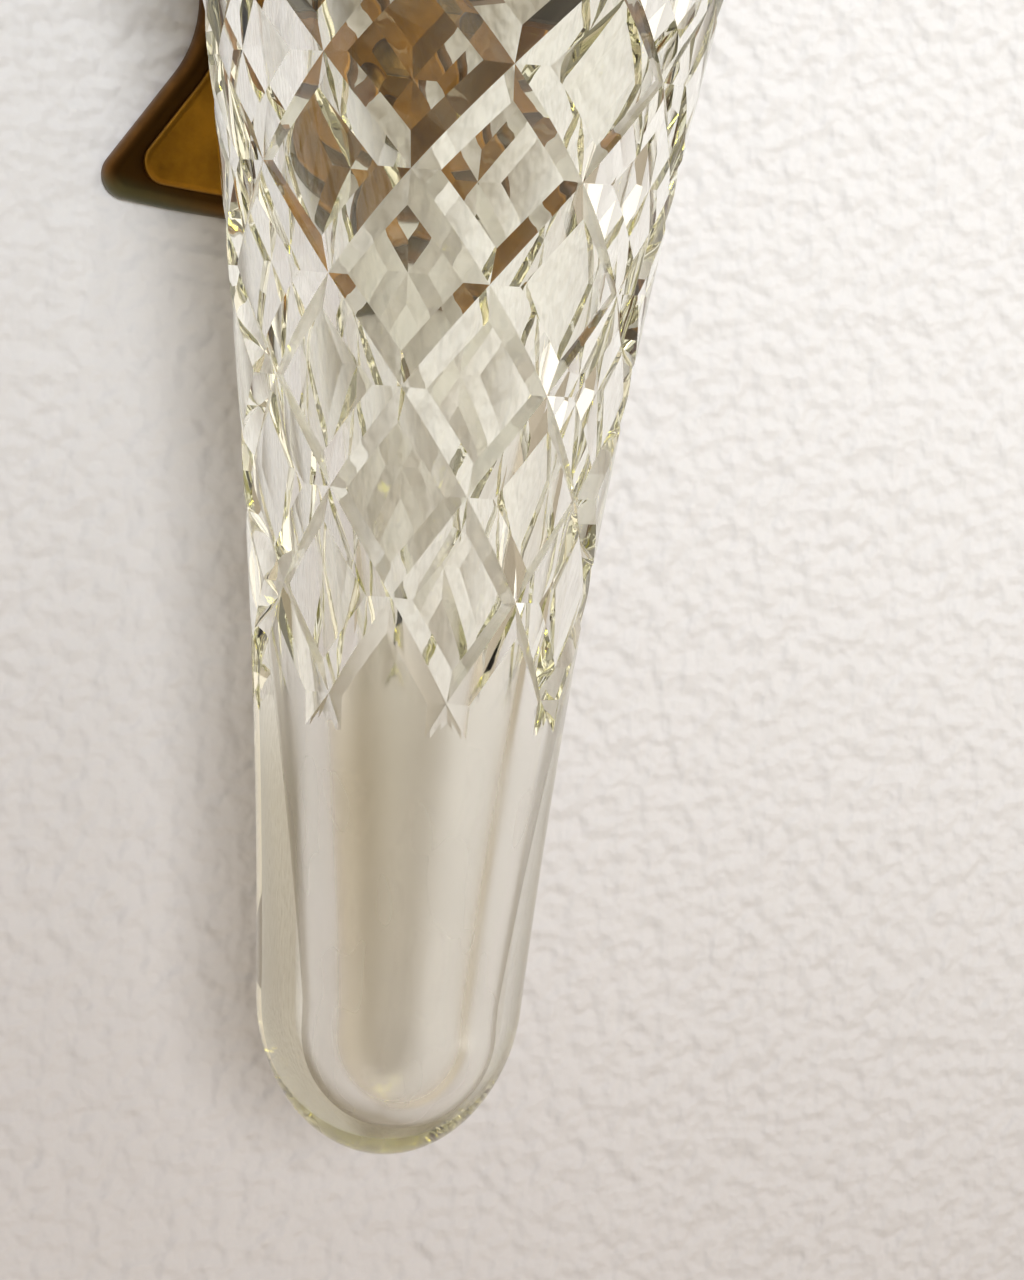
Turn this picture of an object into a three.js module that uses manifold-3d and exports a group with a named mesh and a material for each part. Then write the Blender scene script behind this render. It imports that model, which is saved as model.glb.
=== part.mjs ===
// Wall vase: a cut-crystal cone vase that hangs in a brass ring on a flared wall plate.
// Millimetres. Origin on the plate's back face at its centre, +Z up, the wall at y = 0, the front facing -Y.
import * as THREE from "three";
import { mergeVertices } from "three/addons/utils/BufferGeometryUtils.js";
import Module from "manifold-3d";

const wasm = await Module();
wasm.setup();

// Clearances
const GAP = 0.3; // between a piece and the round or tapered piece it sits in or on
const SCREW_CLEARANCE = 0.3; // radial, between a shank and its hole
const CSK_SINK = 0.2; // how far a countersunk head lies below the face around it

// Vase: heights are measured up from its tip
const VASE_LENGTH = 192;
const TIP_TO_RING = 156; // from the tip to the middle of the ring
const NARROW_RADIUS = 14.75; // radius at the narrowest point of the body's curve, carried down past the tip
const NARROW_DROP = 32.15; // how far below the tip that point is
const BODY_BEND = 934.6; // radius to which the body's outline bends there
const DOME_HEIGHT = 18.7; // the rounded lower end
const RIM_ROUND = 2;
const WALL_BASE = 8.7;
const WALL_RIM = 4.4;
const FLOOR = 7.5; // glass under the bore
const BORE_DOME = 9;
const BORE_LEAN = 1.1; // how far to the right of the axis the bore starts, leaning back to it at the rim

// Diamond cutting: mitre grooves along two families of helices
const CUTS_AROUND = 8;
const CUT_START = 58.3; // height of the lowest crossings
const CUT_PITCH = 11.95; // between rows of crossings
const CUT_ROWS = 7;
const CUT_DEPTH = 1.2;
const CUT_TURN = -4.6; // direction of a crossing in the lowest row, in degrees from straight ahead

// Ring and liner
const RING_HEIGHT = 14;
const RING_WALL = 2.6;
const RING_BEAD = 1.2;
const LINER_WALL = 1.6;
const LINER_LIP = 1.2;

// Wall plate and raised panel
const PLATE_HEIGHT = 88.8; // over the bowed ends
const PLATE_WIDTH = 59.6; // across the flared ends
const WAIST_WIDTH = 36;
const FLARE_ANGLE = 35; // of the flared sides, in degrees from the vertical
const FLARE_RADIUS = 16;
const CORNER_RADIUS = 3.3;
const END_RADIUS = 188; // of the bowed ends
const PLATE_THICK = 3.4;
const PLATE_EDGE = 0.8; // upright edge below the bevel
const PLATE_BEVEL = 2;
const PANEL_INSET = 2.8; // from the plate's outline to the panel's
const PANEL_CORNER = 3;
const PANEL_THICK = 2;
const PANEL_ROUND = 0.9; // rounding of the panel's edge, above and below

// Arm
const AXIS_REACH = 56; // from the wall to the vase's axis
const FOOT_RADIUS = 10;
const FOOT_THICK = 4;
const FOOT_EDGE = 2.2; // straight edge of the foot, before it narrows to the neck
const NECK_RADIUS = 4.4;
const HEAD_WIDTH = 19;
const HEAD_LENGTH = 5; // block behind the ring's nearest point

// Screws
const WALL_SCREW_OFFSET = 28; // above and below the plate's centre
const WALL_SCREW_RADIUS = 2.1;
const WALL_SCREW_REACH = 24; // length of shank behind the plate
const WALL_HEAD_RADIUS = 4;
const WALL_HEAD_HEIGHT = 2.6;
const SLOT_WIDTH = 1;
const SLOT_DEPTH = 1.1;
const ARM_SCREW_OFFSET = 6;
const ARM_SCREW_RADIUS = 1.6;
const ARM_HEAD_RADIUS = 3.2;
const ARM_THREAD = 3; // length of thread in the arm's foot
const RING_SCREW_OFFSET = 5.5;
const RING_SCREW_RADIUS = 1.4;
const RING_HEAD_RADIUS = 2.6;
const RING_THREAD = 3.2; // length of thread in the arm's head

// Smoothness
const GLASS_STEPS = 3; // grid steps between crossings
const RUN_OUT = 1; // grid steps by which a groove runs on past its last crossing
const AROUND = 2 * CUTS_AROUND * GLASS_STEPS;
const TURNED = 48;
const SMALL = 20;
const DOME_STEPS = 7;
const BASE_STEPS = 3;
const LIP_STEPS = 5;
const BORE_STEPS = 7;
const ROUND_ANGLES = [30, 60, 90];

const radians = THREE.MathUtils.degToRad;

// Radius of the vase's uncut outside at height h above the tip.
function outerRadius(h) {
  const body = NARROW_RADIUS + (h + NARROW_DROP) ** 2 / (2 * BODY_BEND);
  const down = Math.max(0, 1 - h / DOME_HEIGHT);
  return body * Math.sqrt(Math.max(0, 1 - down * down));
}

// Radius of the bore at height h above the tip.
function boreRadius(h) {
  const share = THREE.MathUtils.clamp((h - DOME_HEIGHT) / (VASE_LENGTH - DOME_HEIGHT), 0, 1);
  const wall = THREE.MathUtils.lerp(WALL_BASE, WALL_RIM, share);
  const down = Math.max(0, 1 - (h - FLOOR) / BORE_DOME);
  return (outerRadius(Math.max(h, DOME_HEIGHT)) - wall) * Math.sqrt(Math.max(0, 1 - down * down));
}

// Depth of the cutting at a share of full depth, from grid position: column a and row b from a crossing.
function cutShare(a, b) {
  const lines = [(a + b) / (2 * GLASS_STEPS), (a - b) / (2 * GLASS_STEPS)];
  const off = Math.min(...lines.map((t) => Math.abs(t - Math.round(t))));
  const top = CUT_ROWS * GLASS_STEPS;
  const runout = Math.min(b + RUN_OUT, top + RUN_OUT - b) / RUN_OUT;
  return Math.max(0, Math.min(1, runout) - 2 * GLASS_STEPS * off);
}

// A geometry with shared corners and no collapsed faces.
function welded(geometry) {
  const bare = new THREE.BufferGeometry();
  bare.setAttribute("position", geometry.getAttribute("position"));
  bare.setIndex(geometry.index);
  const merged = mergeVertices(bare, 1e-4);
  const kept = [];
  const index = merged.index.array;
  for (let i = 0; i < index.length; i += 3) {
    const [a, b, c] = index.slice(i, i + 3);
    if (a !== b && b !== c && a !== c) kept.push(a, b, c);
  }
  merged.setIndex(kept);
  return merged;
}

// A geometry as a solid for cutting.
function solidOf(geometry) {
  const merged = welded(geometry);
  return new wasm.Manifold(
    new wasm.Mesh({
      numProp: 3,
      vertProperties: new Float32Array(merged.getAttribute("position").array),
      triVerts: new Uint32Array(merged.index.array),
    }),
  );
}

// A solid as a geometry.
function geometryOf(solid) {
  const data = solid.getMesh();
  const geometry = new THREE.BufferGeometry();
  geometry.setAttribute("position", new THREE.BufferAttribute(new Float32Array(data.vertProperties), 3));
  geometry.setIndex(new THREE.BufferAttribute(new Uint32Array(data.triVerts), 1));
  return geometry;
}

// A body with solids taken out of it.
function cut(geometry, tools) {
  return geometryOf(tools.reduce((body, tool) => body.subtract(solidOf(tool)), solidOf(geometry)));
}

// A solid of revolution about Y from a closed profile of [radius, y], listed with its material on the left.
function turned(profile, segments) {
  const points = [...profile, profile[0]].map(([r, y]) => new THREE.Vector2(r, y));
  return welded(new THREE.LatheGeometry(points, segments));
}

// The same, about the Z axis, from a profile of [radius, z].
function turnedUpright(profile, segments) {
  return turned(profile, segments).rotateX(Math.PI / 2);
}

// A cylinder along Y between two depths.
function rod(radius, yFront, yBack, x, z) {
  const middle = (yFront + yBack) / 2;
  return new THREE.CylinderGeometry(radius, radius, yBack - yFront, SMALL).translate(x, middle, z);
}

// A countersunk screw along Y with its head's flat face at the origin and its thread towards +Y.
function countersunk(headRadius, radius, length) {
  const profile = [
    [0, 0],
    [headRadius, 0],
    [radius, headRadius - radius],
    [radius, length],
    [0, length],
  ];
  return turned(profile, SMALL);
}

// The hole for that screw: its shape grown by the clearance, open for a distance above the head.
function countersunkHole(headRadius, radius, length, open) {
  const [wide, narrow] = [headRadius + SCREW_CLEARANCE, radius + SCREW_CLEARANCE];
  const profile = [
    [0, -open],
    [wide, -open],
    [wide, 0],
    [narrow, headRadius - radius],
    [narrow, length + GAP],
    [0, length + GAP],
  ];
  return turned(profile, SMALL);
}

// The plate's outline moved inwards by inset: points of [x, z], counterclockwise seen from the front.
// Its corners are arcs that would have the radius round where nothing is moved inwards.
function plateOutline(inset, round) {
  const flare = radians(FLARE_ANGLE);
  const [along, across] = [Math.sin(flare), Math.cos(flare)];
  const endZ = END_RADIUS - PLATE_HEIGHT / 2;
  const tipX = PLATE_WIDTH / 2 - CORNER_RADIUS;
  const tipZ = endZ - Math.sqrt((END_RADIUS - CORNER_RADIUS) ** 2 - tipX ** 2);
  const sideX = tipX + CORNER_RADIUS * across;
  const sideZ = tipZ + CORNER_RADIUS * along;
  const besideX = sideX - round * across;
  const besideZ = sideZ - round * along - endZ;
  const middle = besideX * along - besideZ * across;
  const slide = middle - Math.sqrt(middle ** 2 - besideX ** 2 - besideZ ** 2 + (END_RADIUS - round) ** 2);
  const cornerX = besideX - slide * along;
  const cornerZ = besideZ + slide * across + endZ;
  const bow = Math.asin(cornerX / (END_RADIUS - round));
  const waistX = WAIST_WIDTH / 2 + FLARE_RADIUS;
  const meetX = waistX - FLARE_RADIUS * across;
  const waistZ = sideZ + (sideX - meetX) / Math.tan(flare) + FLARE_RADIUS * along;
  const quarter = [];
  for (let i = 0; i < 3; i++) {
    const angle = ((i + 0.5) / 3) * bow - Math.PI / 2;
    const radius = END_RADIUS - inset;
    quarter.push([radius * Math.cos(angle), endZ + radius * Math.sin(angle)]);
  }
  for (let i = 0; i <= 8; i++) {
    const angle = THREE.MathUtils.lerp(bow - Math.PI / 2, flare, i / 8);
    const radius = round - inset;
    quarter.push([cornerX + radius * Math.cos(angle), cornerZ + radius * Math.sin(angle)]);
  }
  for (let i = 0; i <= 5; i++) {
    const angle = Math.PI + THREE.MathUtils.lerp(flare, 0, i / 5);
    const radius = FLARE_RADIUS + inset;
    quarter.push([waistX + radius * Math.cos(angle), waistZ + radius * Math.sin(angle)]);
  }
  const half = [...quarter, ...quarter.map(([x, z]) => [x, -z]).reverse()];
  return [...half, ...half.map(([x, z]) => [-x, z]).reverse()];
}

// A solid through the outlines of a list of [inset, y], from the back to the front.
function lofted(round, steps) {
  const rings = steps.map(([inset, y]) => plateOutline(inset, round).map(([x, z]) => [x, y, z]));
  const count = rings[0].length;
  const index = [];
  for (let i = 0; i + 1 < rings.length; i++) {
    for (let j = 0; j < count; j++) {
      const k = (j + 1) % count;
      const [a, b] = [i * count + j, i * count + k];
      index.push(a, b, b + count, a, b + count, a + count);
    }
  }
  const caps = [rings[0], rings[rings.length - 1]].map((ring) =>
    THREE.ShapeUtils.triangulateShape(ring.map(([x, , z]) => new THREE.Vector2(x, z)), []),
  );
  for (const [a, b, c] of caps[0]) index.push(a, c, b);
  const last = (rings.length - 1) * count;
  for (const [a, b, c] of caps[1]) index.push(last + a, last + b, last + c);
  const geometry = new THREE.BufferGeometry();
  geometry.setAttribute("position", new THREE.Float32BufferAttribute(rings.flat(2), 3));
  geometry.setIndex(index);
  return geometry;
}

// The vase before boring: rings of points from tip to rim, drawn in where a groove crosses them.
function vaseBlank() {
  const step = CUT_PITCH / GLASS_STEPS;
  const lastRow = CUT_ROWS * GLASS_STEPS + RUN_OUT;
  const cutTop = CUT_START + lastRow * step;
  const rows = [];
  for (let i = 1; i <= DOME_STEPS; i++) {
    rows.push({ h: DOME_HEIGHT * (1 - Math.cos((i / DOME_STEPS) * (Math.PI / 2))) });
  }
  for (let i = 1; i < BASE_STEPS; i++) {
    rows.push({ h: THREE.MathUtils.lerp(DOME_HEIGHT, CUT_START - RUN_OUT * step, i / BASE_STEPS) });
  }
  for (let b = -RUN_OUT; b <= lastRow; b++) rows.push({ h: CUT_START + b * step, b });
  for (let i = 1; i <= LIP_STEPS; i++) {
    rows.push({ h: THREE.MathUtils.lerp(cutTop, VASE_LENGTH - RIM_ROUND, i / LIP_STEPS) });
  }
  for (const angle of ROUND_ANGLES) {
    const h = VASE_LENGTH - RIM_ROUND * (1 - Math.sin(radians(angle)));
    rows.push({ h, less: RIM_ROUND * (1 - Math.cos(radians(angle))) });
  }
  const depth = (row, a) => (row.b === undefined ? 0 : CUT_DEPTH * cutShare(a, row.b));
  const points = [0, 0, 0];
  for (const row of rows) {
    for (let a = 0; a < AROUND; a++) {
      const turn = radians(CUT_TURN + (a * 360) / AROUND);
      const r = outerRadius(row.h) - (row.less ?? 0) - depth(row, a);
      points.push(r * Math.sin(turn), -r * Math.cos(turn), row.h);
    }
  }
  const index = [];
  const at = (i, a) => 1 + i * AROUND + (a % AROUND);
  for (let a = 0; a < AROUND; a++) index.push(0, at(0, a + 1), at(0, a));
  for (let i = 0; i + 1 < rows.length; i++) {
    for (let a = 0; a < AROUND; a++) {
      const [p, q, r, s] = [at(i, a), at(i, a + 1), at(i + 1, a + 1), at(i + 1, a)];
      const low = rows[i].b;
      const rising = depth(rows[i], a) + depth(rows[i + 1], a + 1);
      const falling = depth(rows[i], a + 1) + depth(rows[i + 1], a);
      const middle = low === undefined ? 0 : 2 * CUT_DEPTH * cutShare(a + 0.5, low + 0.5);
      if (Math.abs(rising - middle) <= Math.abs(falling - middle)) index.push(p, q, r, p, r, s);
      else index.push(p, q, s, q, r, s);
    }
  }
  const crown = points.length / 3;
  points.push(0, 0, VASE_LENGTH);
  for (let a = 0; a < AROUND; a++) index.push(at(rows.length - 1, a), at(rows.length - 1, a + 1), crown);
  const geometry = new THREE.BufferGeometry();
  geometry.setAttribute("position", new THREE.Float32BufferAttribute(points, 3));
  geometry.setIndex(index);
  return geometry;
}

// The space inside the vase, leaning to the axis and widening round the rim's inner edge.
function vaseBore() {
  const profile = [];
  const shoulder = VASE_LENGTH - RIM_ROUND;
  for (let i = 0; i <= DOME_STEPS; i++) {
    const h = FLOOR + BORE_DOME * (1 - Math.cos((i / DOME_STEPS) * (Math.PI / 2)));
    profile.push([boreRadius(h), h]);
  }
  for (let i = 1; i <= BORE_STEPS; i++) {
    const h = THREE.MathUtils.lerp(FLOOR + BORE_DOME, shoulder, i / BORE_STEPS);
    profile.push([boreRadius(h), h]);
  }
  for (const angle of ROUND_ANGLES) {
    const out = RIM_ROUND * (1 - Math.cos(radians(angle)));
    profile.push([boreRadius(shoulder) + out, shoulder + RIM_ROUND * Math.sin(radians(angle))]);
  }
  const above = VASE_LENGTH + RIM_ROUND;
  const bore = turnedUpright([...profile, [boreRadius(shoulder) + RIM_ROUND, above], [0, above]], TURNED);
  const lean = new THREE.Matrix4().makeShear(0, 0, 0, 0, -BORE_LEAN / VASE_LENGTH, 0);
  return bore.applyMatrix4(lean).translate(BORE_LEAN, 0, 0);
}

// Radius at height z above the ring's middle of a straight taper that lies off the glass by a distance.
function seatRadius(z, off) {
  const low = outerRadius(TIP_TO_RING - RING_HEIGHT / 2);
  const high = outerRadius(TIP_TO_RING + RING_HEIGHT / 2);
  return THREE.MathUtils.mapLinear(z, -RING_HEIGHT / 2, RING_HEIGHT / 2, low, high) + off;
}

const LINER_IN = GAP;
const LINER_OUT = LINER_IN + LINER_WALL;
const RING_IN = LINER_OUT + GAP;
const RING_OUT = RING_IN + RING_WALL;
const RING_LOW = -RING_HEIGHT / 2;
const RING_TOP = RING_HEIGHT / 2;
const PANEL_FACE = -PLATE_THICK - PANEL_THICK;
const RING_BACK = -AXIS_REACH + seatRadius(0, RING_OUT);
const ARM_SCREW_LENGTH = -CSK_SINK - PANEL_FACE + ARM_THREAD;

// The ring screws' heads lie below the ring's inner face even where that face is farthest from the axis.
const RING_SCREW_NEAR = RING_SCREW_OFFSET - RING_HEAD_RADIUS;
const RING_SCREW_FACE = Math.sqrt(seatRadius(RING_HEAD_RADIUS, RING_IN) ** 2 - RING_SCREW_NEAR ** 2);
const RING_SCREW_HEAD = RING_SCREW_FACE + CSK_SINK;
const RING_SCREW_LENGTH = AXIS_REACH + RING_BACK + RING_THREAD - RING_SCREW_HEAD;

// Half-round bead on the ring's outside, from its lower to its upper edge.
function beadPoints(z) {
  const radius = seatRadius(z, RING_OUT);
  return [0, 45, 90, 135, 180].map((angle) => [
    radius + RING_BEAD * Math.sin(radians(angle)),
    z - RING_BEAD * Math.cos(radians(angle)),
  ]);
}

// A tapered band with a bead along each edge, drilled from inside for the two screws into the arm.
function holderRing() {
  const profile = [
    [seatRadius(RING_TOP, RING_IN), RING_TOP],
    [seatRadius(RING_LOW, RING_IN), RING_LOW],
    ...beadPoints(RING_LOW + RING_BEAD),
    ...beadPoints(RING_TOP - RING_BEAD),
  ];
  return cut(turnedUpright(profile, TURNED), ringScrewHoles());
}

function ringScrewHoles() {
  return [-1, 1].map((side) =>
    countersunkHole(RING_HEAD_RADIUS, RING_SCREW_RADIUS, RING_SCREW_LENGTH, RING_WALL).translate(
      side * RING_SCREW_OFFSET,
      RING_SCREW_HEAD,
      0,
    ),
  );
}

// A thin tapered sleeve whose lip rests on the ring's upper edge.
function vaseLiner() {
  const lipLow = RING_TOP + GAP;
  const lipTop = lipLow + LINER_LIP;
  const profile = [
    [seatRadius(lipTop, LINER_IN), lipTop],
    [seatRadius(RING_LOW, LINER_IN), RING_LOW],
    [seatRadius(RING_LOW, LINER_OUT), RING_LOW],
    [seatRadius(lipLow, LINER_OUT), lipLow],
    [seatRadius(lipLow, RING_OUT), lipLow],
    [seatRadius(lipTop, RING_OUT), lipTop],
  ];
  return turnedUpright(profile, TURNED);
}

// A turned foot and neck with a block that lies between the ring's beads and is hollowed to fit its band.
function supportArm() {
  const foot = PANEL_FACE - FOOT_THICK;
  const headBack = RING_BACK + HEAD_LENGTH;
  const headFront = RING_BACK - HEAD_LENGTH;
  const headHeight = RING_HEIGHT - 4 * RING_BEAD - 2 * GAP;
  const stem = turned(
    [
      [0, RING_BACK],
      [NECK_RADIUS, RING_BACK],
      [NECK_RADIUS, foot],
      [FOOT_RADIUS, PANEL_FACE - FOOT_EDGE],
      [FOOT_RADIUS, PANEL_FACE],
      [0, PANEL_FACE],
    ],
    TURNED,
  );
  const block = new THREE.BoxGeometry(HEAD_WIDTH, headBack - headFront, headHeight);
  block.translate(0, (headBack + headFront) / 2, 0);
  const band = turnedUpright(
    [
      [0, RING_LOW],
      [seatRadius(RING_LOW, RING_OUT + GAP), RING_LOW],
      [seatRadius(RING_TOP, RING_OUT + GAP), RING_TOP],
      [0, RING_TOP],
    ],
    TURNED,
  );
  const body = geometryOf(solidOf(stem).add(solidOf(block)));
  const ringHoles = ringScrewHoles().map((hole) => hole.translate(0, -AXIS_REACH, 0));
  return cut(body, [band.translate(0, -AXIS_REACH, 0), ...ringHoles, ...armScrewHoles()]);
}

function armScrewHoles() {
  return [-1, 1].map((side) =>
    countersunkHole(ARM_HEAD_RADIUS, ARM_SCREW_RADIUS, ARM_SCREW_LENGTH, PLATE_THICK)
      .rotateX(Math.PI)
      .translate(0, -CSK_SINK, side * ARM_SCREW_OFFSET),
  );
}

function wallScrewHoles() {
  return [-1, 1].map((side) =>
    rod(WALL_SCREW_RADIUS + SCREW_CLEARANCE, PANEL_FACE - GAP, GAP, 0, side * WALL_SCREW_OFFSET),
  );
}

// A bevelled plate with a flat back.
function backPlate() {
  const shoulder = THREE.MathUtils.lerp(PLATE_EDGE, PLATE_THICK, 0.65);
  const body = lofted(CORNER_RADIUS, [
    [0, 0],
    [0, -PLATE_EDGE],
    [PLATE_BEVEL * 0.4, -shoulder],
    [PLATE_BEVEL, -PLATE_THICK],
  ]);
  return cut(body, [...wallScrewHoles(), ...armScrewHoles()]);
}

// A raised panel with a round-nosed edge that stands on the plate.
function frontPanel() {
  const [back, front] = [-PLATE_THICK, PANEL_FACE];
  const slope = 0.3 * PANEL_ROUND;
  const body = lofted(PANEL_INSET + PANEL_CORNER, [
    [PANEL_INSET + PANEL_ROUND, back],
    [PANEL_INSET + slope, back - slope],
    [PANEL_INSET, back - PANEL_ROUND],
    [PANEL_INSET, front + PANEL_ROUND],
    [PANEL_INSET + slope, front + slope],
    [PANEL_INSET + PANEL_ROUND, front],
  ]);
  return cut(body, [...wallScrewHoles(), ...armScrewHoles()]);
}

// A slotted wood screw along Y: a domed head in front of the origin, a pointed shank behind it.
function wallScrew() {
  const length = WALL_SCREW_REACH - PANEL_FACE;
  const point = 3 * WALL_SCREW_RADIUS;
  const profile = [[0, -WALL_HEAD_HEIGHT]];
  for (const angle of ROUND_ANGLES) {
    const turn = radians(angle);
    profile.push([WALL_HEAD_RADIUS * Math.sin(turn), -WALL_HEAD_HEIGHT * Math.cos(turn)]);
  }
  profile.push([WALL_SCREW_RADIUS, 0], [WALL_SCREW_RADIUS, length - point], [0, length]);
  const slot = new THREE.BoxGeometry(3 * WALL_HEAD_RADIUS, 2 * SLOT_DEPTH, SLOT_WIDTH);
  return cut(turned(profile, SMALL), [slot.translate(0, -WALL_HEAD_HEIGHT, 0)]);
}

const agedBrass = new THREE.MeshStandardMaterial({ color: 0x5f4212, metalness: 1, roughness: 0.42 });
const panelBrass = new THREE.MeshStandardMaterial({ color: 0x6b4a0c, metalness: 1, roughness: 0.36 });
const screwBrass = new THREE.MeshStandardMaterial({ color: 0x8a6a2c, metalness: 1, roughness: 0.34 });
const rubber = new THREE.MeshStandardMaterial({ color: 0x2a211a, metalness: 0, roughness: 0.9 });
const crystal = new THREE.MeshPhysicalMaterial({ color: 0xe6e2cf, roughness: 0.02, transmission: 1 });
crystal.ior = 1.54;

const part = new THREE.Group();
const vaseAxis = new THREE.Group();
vaseAxis.position.y = -AXIS_REACH;
part.add(vaseAxis);

// Adds a named piece to a group and returns it for placing.
function add(group, name, geometry, material) {
  const mesh = new THREE.Mesh(geometry, material);
  mesh.name = name;
  group.add(mesh);
  return mesh;
}

add(part, "back_plate", backPlate(), agedBrass);
add(part, "front_panel", frontPanel(), panelBrass);
add(part, "support_arm", supportArm(), agedBrass);
add(vaseAxis, "holder_ring", holderRing(), agedBrass);
add(vaseAxis, "vase_liner", vaseLiner(), rubber);
add(vaseAxis, "glass_vase", cut(vaseBlank(), [vaseBore()]), crystal).position.z = -TIP_TO_RING;

for (const [name, side] of [["lower", -1], ["upper", 1]]) {
  const wall = add(part, `wall_screw_${name}`, wallScrew(), screwBrass);
  wall.position.set(0, PANEL_FACE, side * WALL_SCREW_OFFSET);
  const screw = countersunk(ARM_HEAD_RADIUS, ARM_SCREW_RADIUS, ARM_SCREW_LENGTH).rotateX(Math.PI);
  add(part, `arm_screw_${name}`, screw, screwBrass).position.set(0, -CSK_SINK, side * ARM_SCREW_OFFSET);
}

for (const [name, side] of [["left", -1], ["right", 1]]) {
  const screw = countersunk(RING_HEAD_RADIUS, RING_SCREW_RADIUS, RING_SCREW_LENGTH);
  const placed = add(vaseAxis, `ring_screw_${name}`, screw, screwBrass);
  placed.position.set(side * RING_SCREW_OFFSET, RING_SCREW_HEAD, 0);
}

export default part;
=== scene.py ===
"""Wall vase: a cut-crystal cone vase in a brass ring on a flared brass wall plate.

Metres, +Z up. The wall is the plane y = 0, the front faces -Y and the ring's middle is at z = 0.
"""

import math

import bmesh
import bpy
import numpy as np
from bpy.props import FloatProperty, FloatVectorProperty, PointerProperty
from bpy.types import Operator, Panel, PropertyGroup
from mathutils import Matrix, Vector


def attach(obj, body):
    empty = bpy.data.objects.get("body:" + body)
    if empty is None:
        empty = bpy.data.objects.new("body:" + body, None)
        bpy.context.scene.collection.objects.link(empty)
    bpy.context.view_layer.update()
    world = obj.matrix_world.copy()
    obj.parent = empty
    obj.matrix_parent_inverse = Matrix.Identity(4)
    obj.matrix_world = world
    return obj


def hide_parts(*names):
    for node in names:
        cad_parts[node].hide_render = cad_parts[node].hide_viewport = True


bl_info = {
    "name": "Wall vase",
    "version": (1, 0, 0),
    "blender": (4, 5, 0),
    "location": "3D View > Sidebar > Wall vase",
    "description": "Builds a cut-crystal wall vase on its brass bracket",
    "category": "Add Mesh",
}

MM = 0.001
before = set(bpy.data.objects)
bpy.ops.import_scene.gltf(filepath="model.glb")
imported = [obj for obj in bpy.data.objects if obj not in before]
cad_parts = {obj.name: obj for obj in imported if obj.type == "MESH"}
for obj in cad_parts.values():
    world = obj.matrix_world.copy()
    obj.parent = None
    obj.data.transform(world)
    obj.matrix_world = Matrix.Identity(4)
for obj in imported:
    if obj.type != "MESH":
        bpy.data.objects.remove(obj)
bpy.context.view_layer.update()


# Colour and node helpers


def linear(hexcode):
    """An sRGB hex colour as linear red, green and blue."""
    parts = np.array([int(hexcode[i : i + 2], 16) for i in (1, 3, 5)]) / 255.0
    low = parts / 12.92
    high = ((parts + 0.055) / 1.055) ** 2.4
    return tuple(float(v) for v in np.where(parts <= 0.04045, low, high))


def node(tree, kind, inputs=None, **settings):
    """Adds a shader node and sets its properties and inputs, each input to a value or linked to a socket."""
    made = tree.nodes.new("ShaderNode" + kind)
    for key, value in settings.items():
        setattr(made, key, value)
    for key, value in (inputs or {}).items():
        if isinstance(value, bpy.types.NodeSocket):
            tree.links.new(value, made.inputs[key])
        else:
            made.inputs[key].default_value = value
    return made


def ramp(tree, value, start, end, low=0.0, high=1.0, kind="LINEAR"):
    """Goes from low to high while the value goes from start to end."""
    ends = {"From Min": start, "From Max": end, "To Min": low, "To Max": high}
    return node(tree, "MapRange", {"Value": value, **ends}, interpolation_type=kind).outputs["Result"]


def noise(tree, place, width, detail, roughness=0.5):
    """Noise with lumps of about the given width."""
    look = {"Scale": 1.0 / width, "Detail": detail, "Roughness": roughness}
    return node(tree, "TexNoise", {"Vector": place, **look}).outputs["Fac"]


def blend(tree, share, *pair):
    """A mix of two colours, each of them a socket or red, green and blue."""
    one, two = (shade if isinstance(shade, bpy.types.NodeSocket) else (*shade, 1.0) for shade in pair)
    return node(tree, "Mix", {0: share, 6: one, 7: two}, data_type="RGBA").outputs[2]


def blank_material(name):
    """An empty node material and its tree."""
    material = bpy.data.materials.new(name)
    material.use_nodes = True
    material.node_tree.nodes.clear()
    return material, material.node_tree


# Sizes and colours


def length(name, description, default_mm):
    """A length property whose default is written in millimetres."""
    return FloatProperty(name=name, description=description, default=default_mm * MM,
                         subtype="DISTANCE", unit="LENGTH", precision=5)


def angle(name, description, default_degrees):
    """An angle property whose default is written in degrees."""
    return FloatProperty(name=name, description=description, default=math.radians(default_degrees),
                         subtype="ANGLE", unit="ROTATION")


def colour(name, description, hexcode):
    """A colour property whose default is an sRGB hex value."""
    return FloatVectorProperty(name=name, description=description, default=linear(hexcode), size=3,
                               subtype="COLOR", min=0.0, max=1.0)


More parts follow.
